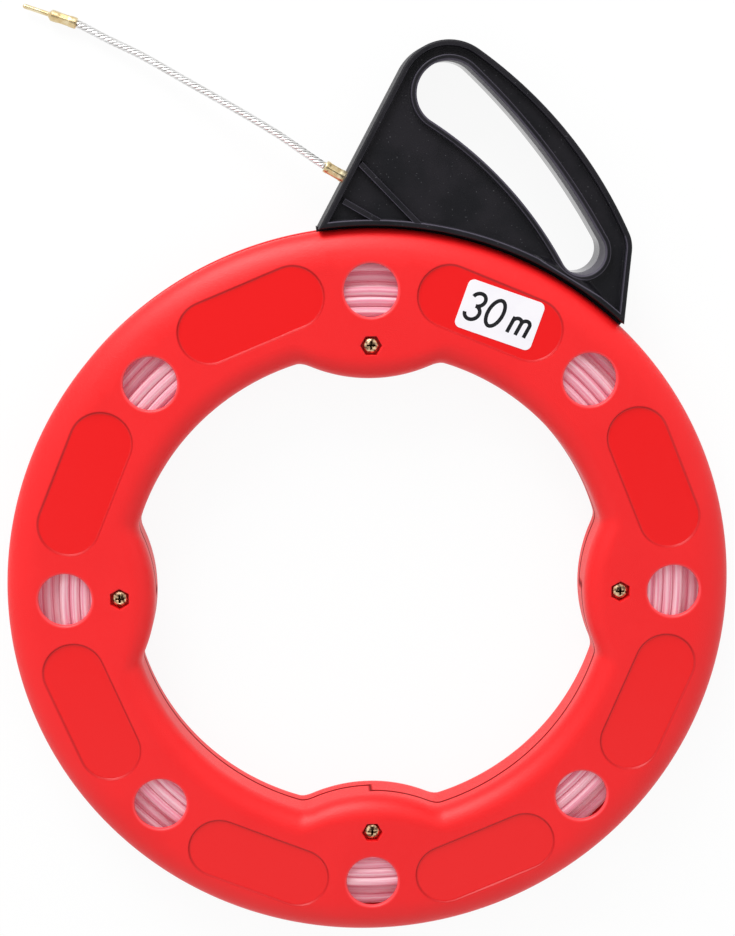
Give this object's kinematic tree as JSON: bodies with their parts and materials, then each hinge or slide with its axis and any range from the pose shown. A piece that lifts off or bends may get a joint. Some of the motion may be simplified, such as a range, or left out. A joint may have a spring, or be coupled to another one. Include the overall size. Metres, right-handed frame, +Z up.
{
  "type": "fish tape reel",
  "caption": "Ring-shaped fish tape reel: red casing with round windows over a coil of nylon tape, black handle that runs round the rim, and a wire leader with a brass tip.",
  "frame": {"origin": "on the floor under the middle of the reel and its handle, without the leader", "axes": "+Z up, square to the casing's faces; +Y from the reel's bore towards the handle; +X to the right seen from the front face"},
  "size_m": [0.29, 0.3754, 0.03],
  "materials": {
    "casing": "fine-textured red plastic with smoother pads",
    "handle": "satin black plastic",
    "tape": "translucent white nylon",
    "brass": "turned brass",
    "leader": "twisted steel wire",
    "casing_fastener": "yellow zinc plate",
    "handle_fastener": "plain steel"
  },
  "bodies": {
    "handle": {"handle_front": "handle", "handle_rear": "handle", "handle_screw_1": "handle_fastener", "handle_screw_2": "handle_fastener", "handle_screw_3": "handle_fastener"},
    "reel": {"front_shell": "casing", "rear_shell": "casing", "shell_screw_1": "casing_fastener", "shell_screw_2": "casing_fastener", "shell_screw_3": "casing_fastener", "shell_screw_4": "casing_fastener", "shell_nut_1": "casing_fastener", "shell_nut_2": "casing_fastener", "shell_nut_3": "casing_fastener", "shell_nut_4": "casing_fastener", "tape_coil": "tape", "tape_end_stop": "brass"},
    "tape_lead": {"tape_run": "tape", "leader_ferrule": "brass", "leader_rope": "leader", "leader_tip": "brass"}
  },
  "joints": [
    {"name": "reel_spin", "type": "hinge", "parent": "handle", "child": "reel", "pos_m": [0, -0.03551, 0.015], "axis": [0, 0, 1], "continuous": true},
    {"name": "tape_pull", "type": "slide", "parent": "handle", "child": "tape_lead", "axis": [-0.866, 0.5, 0], "range_m": [0, 0.06]}
  ]
}
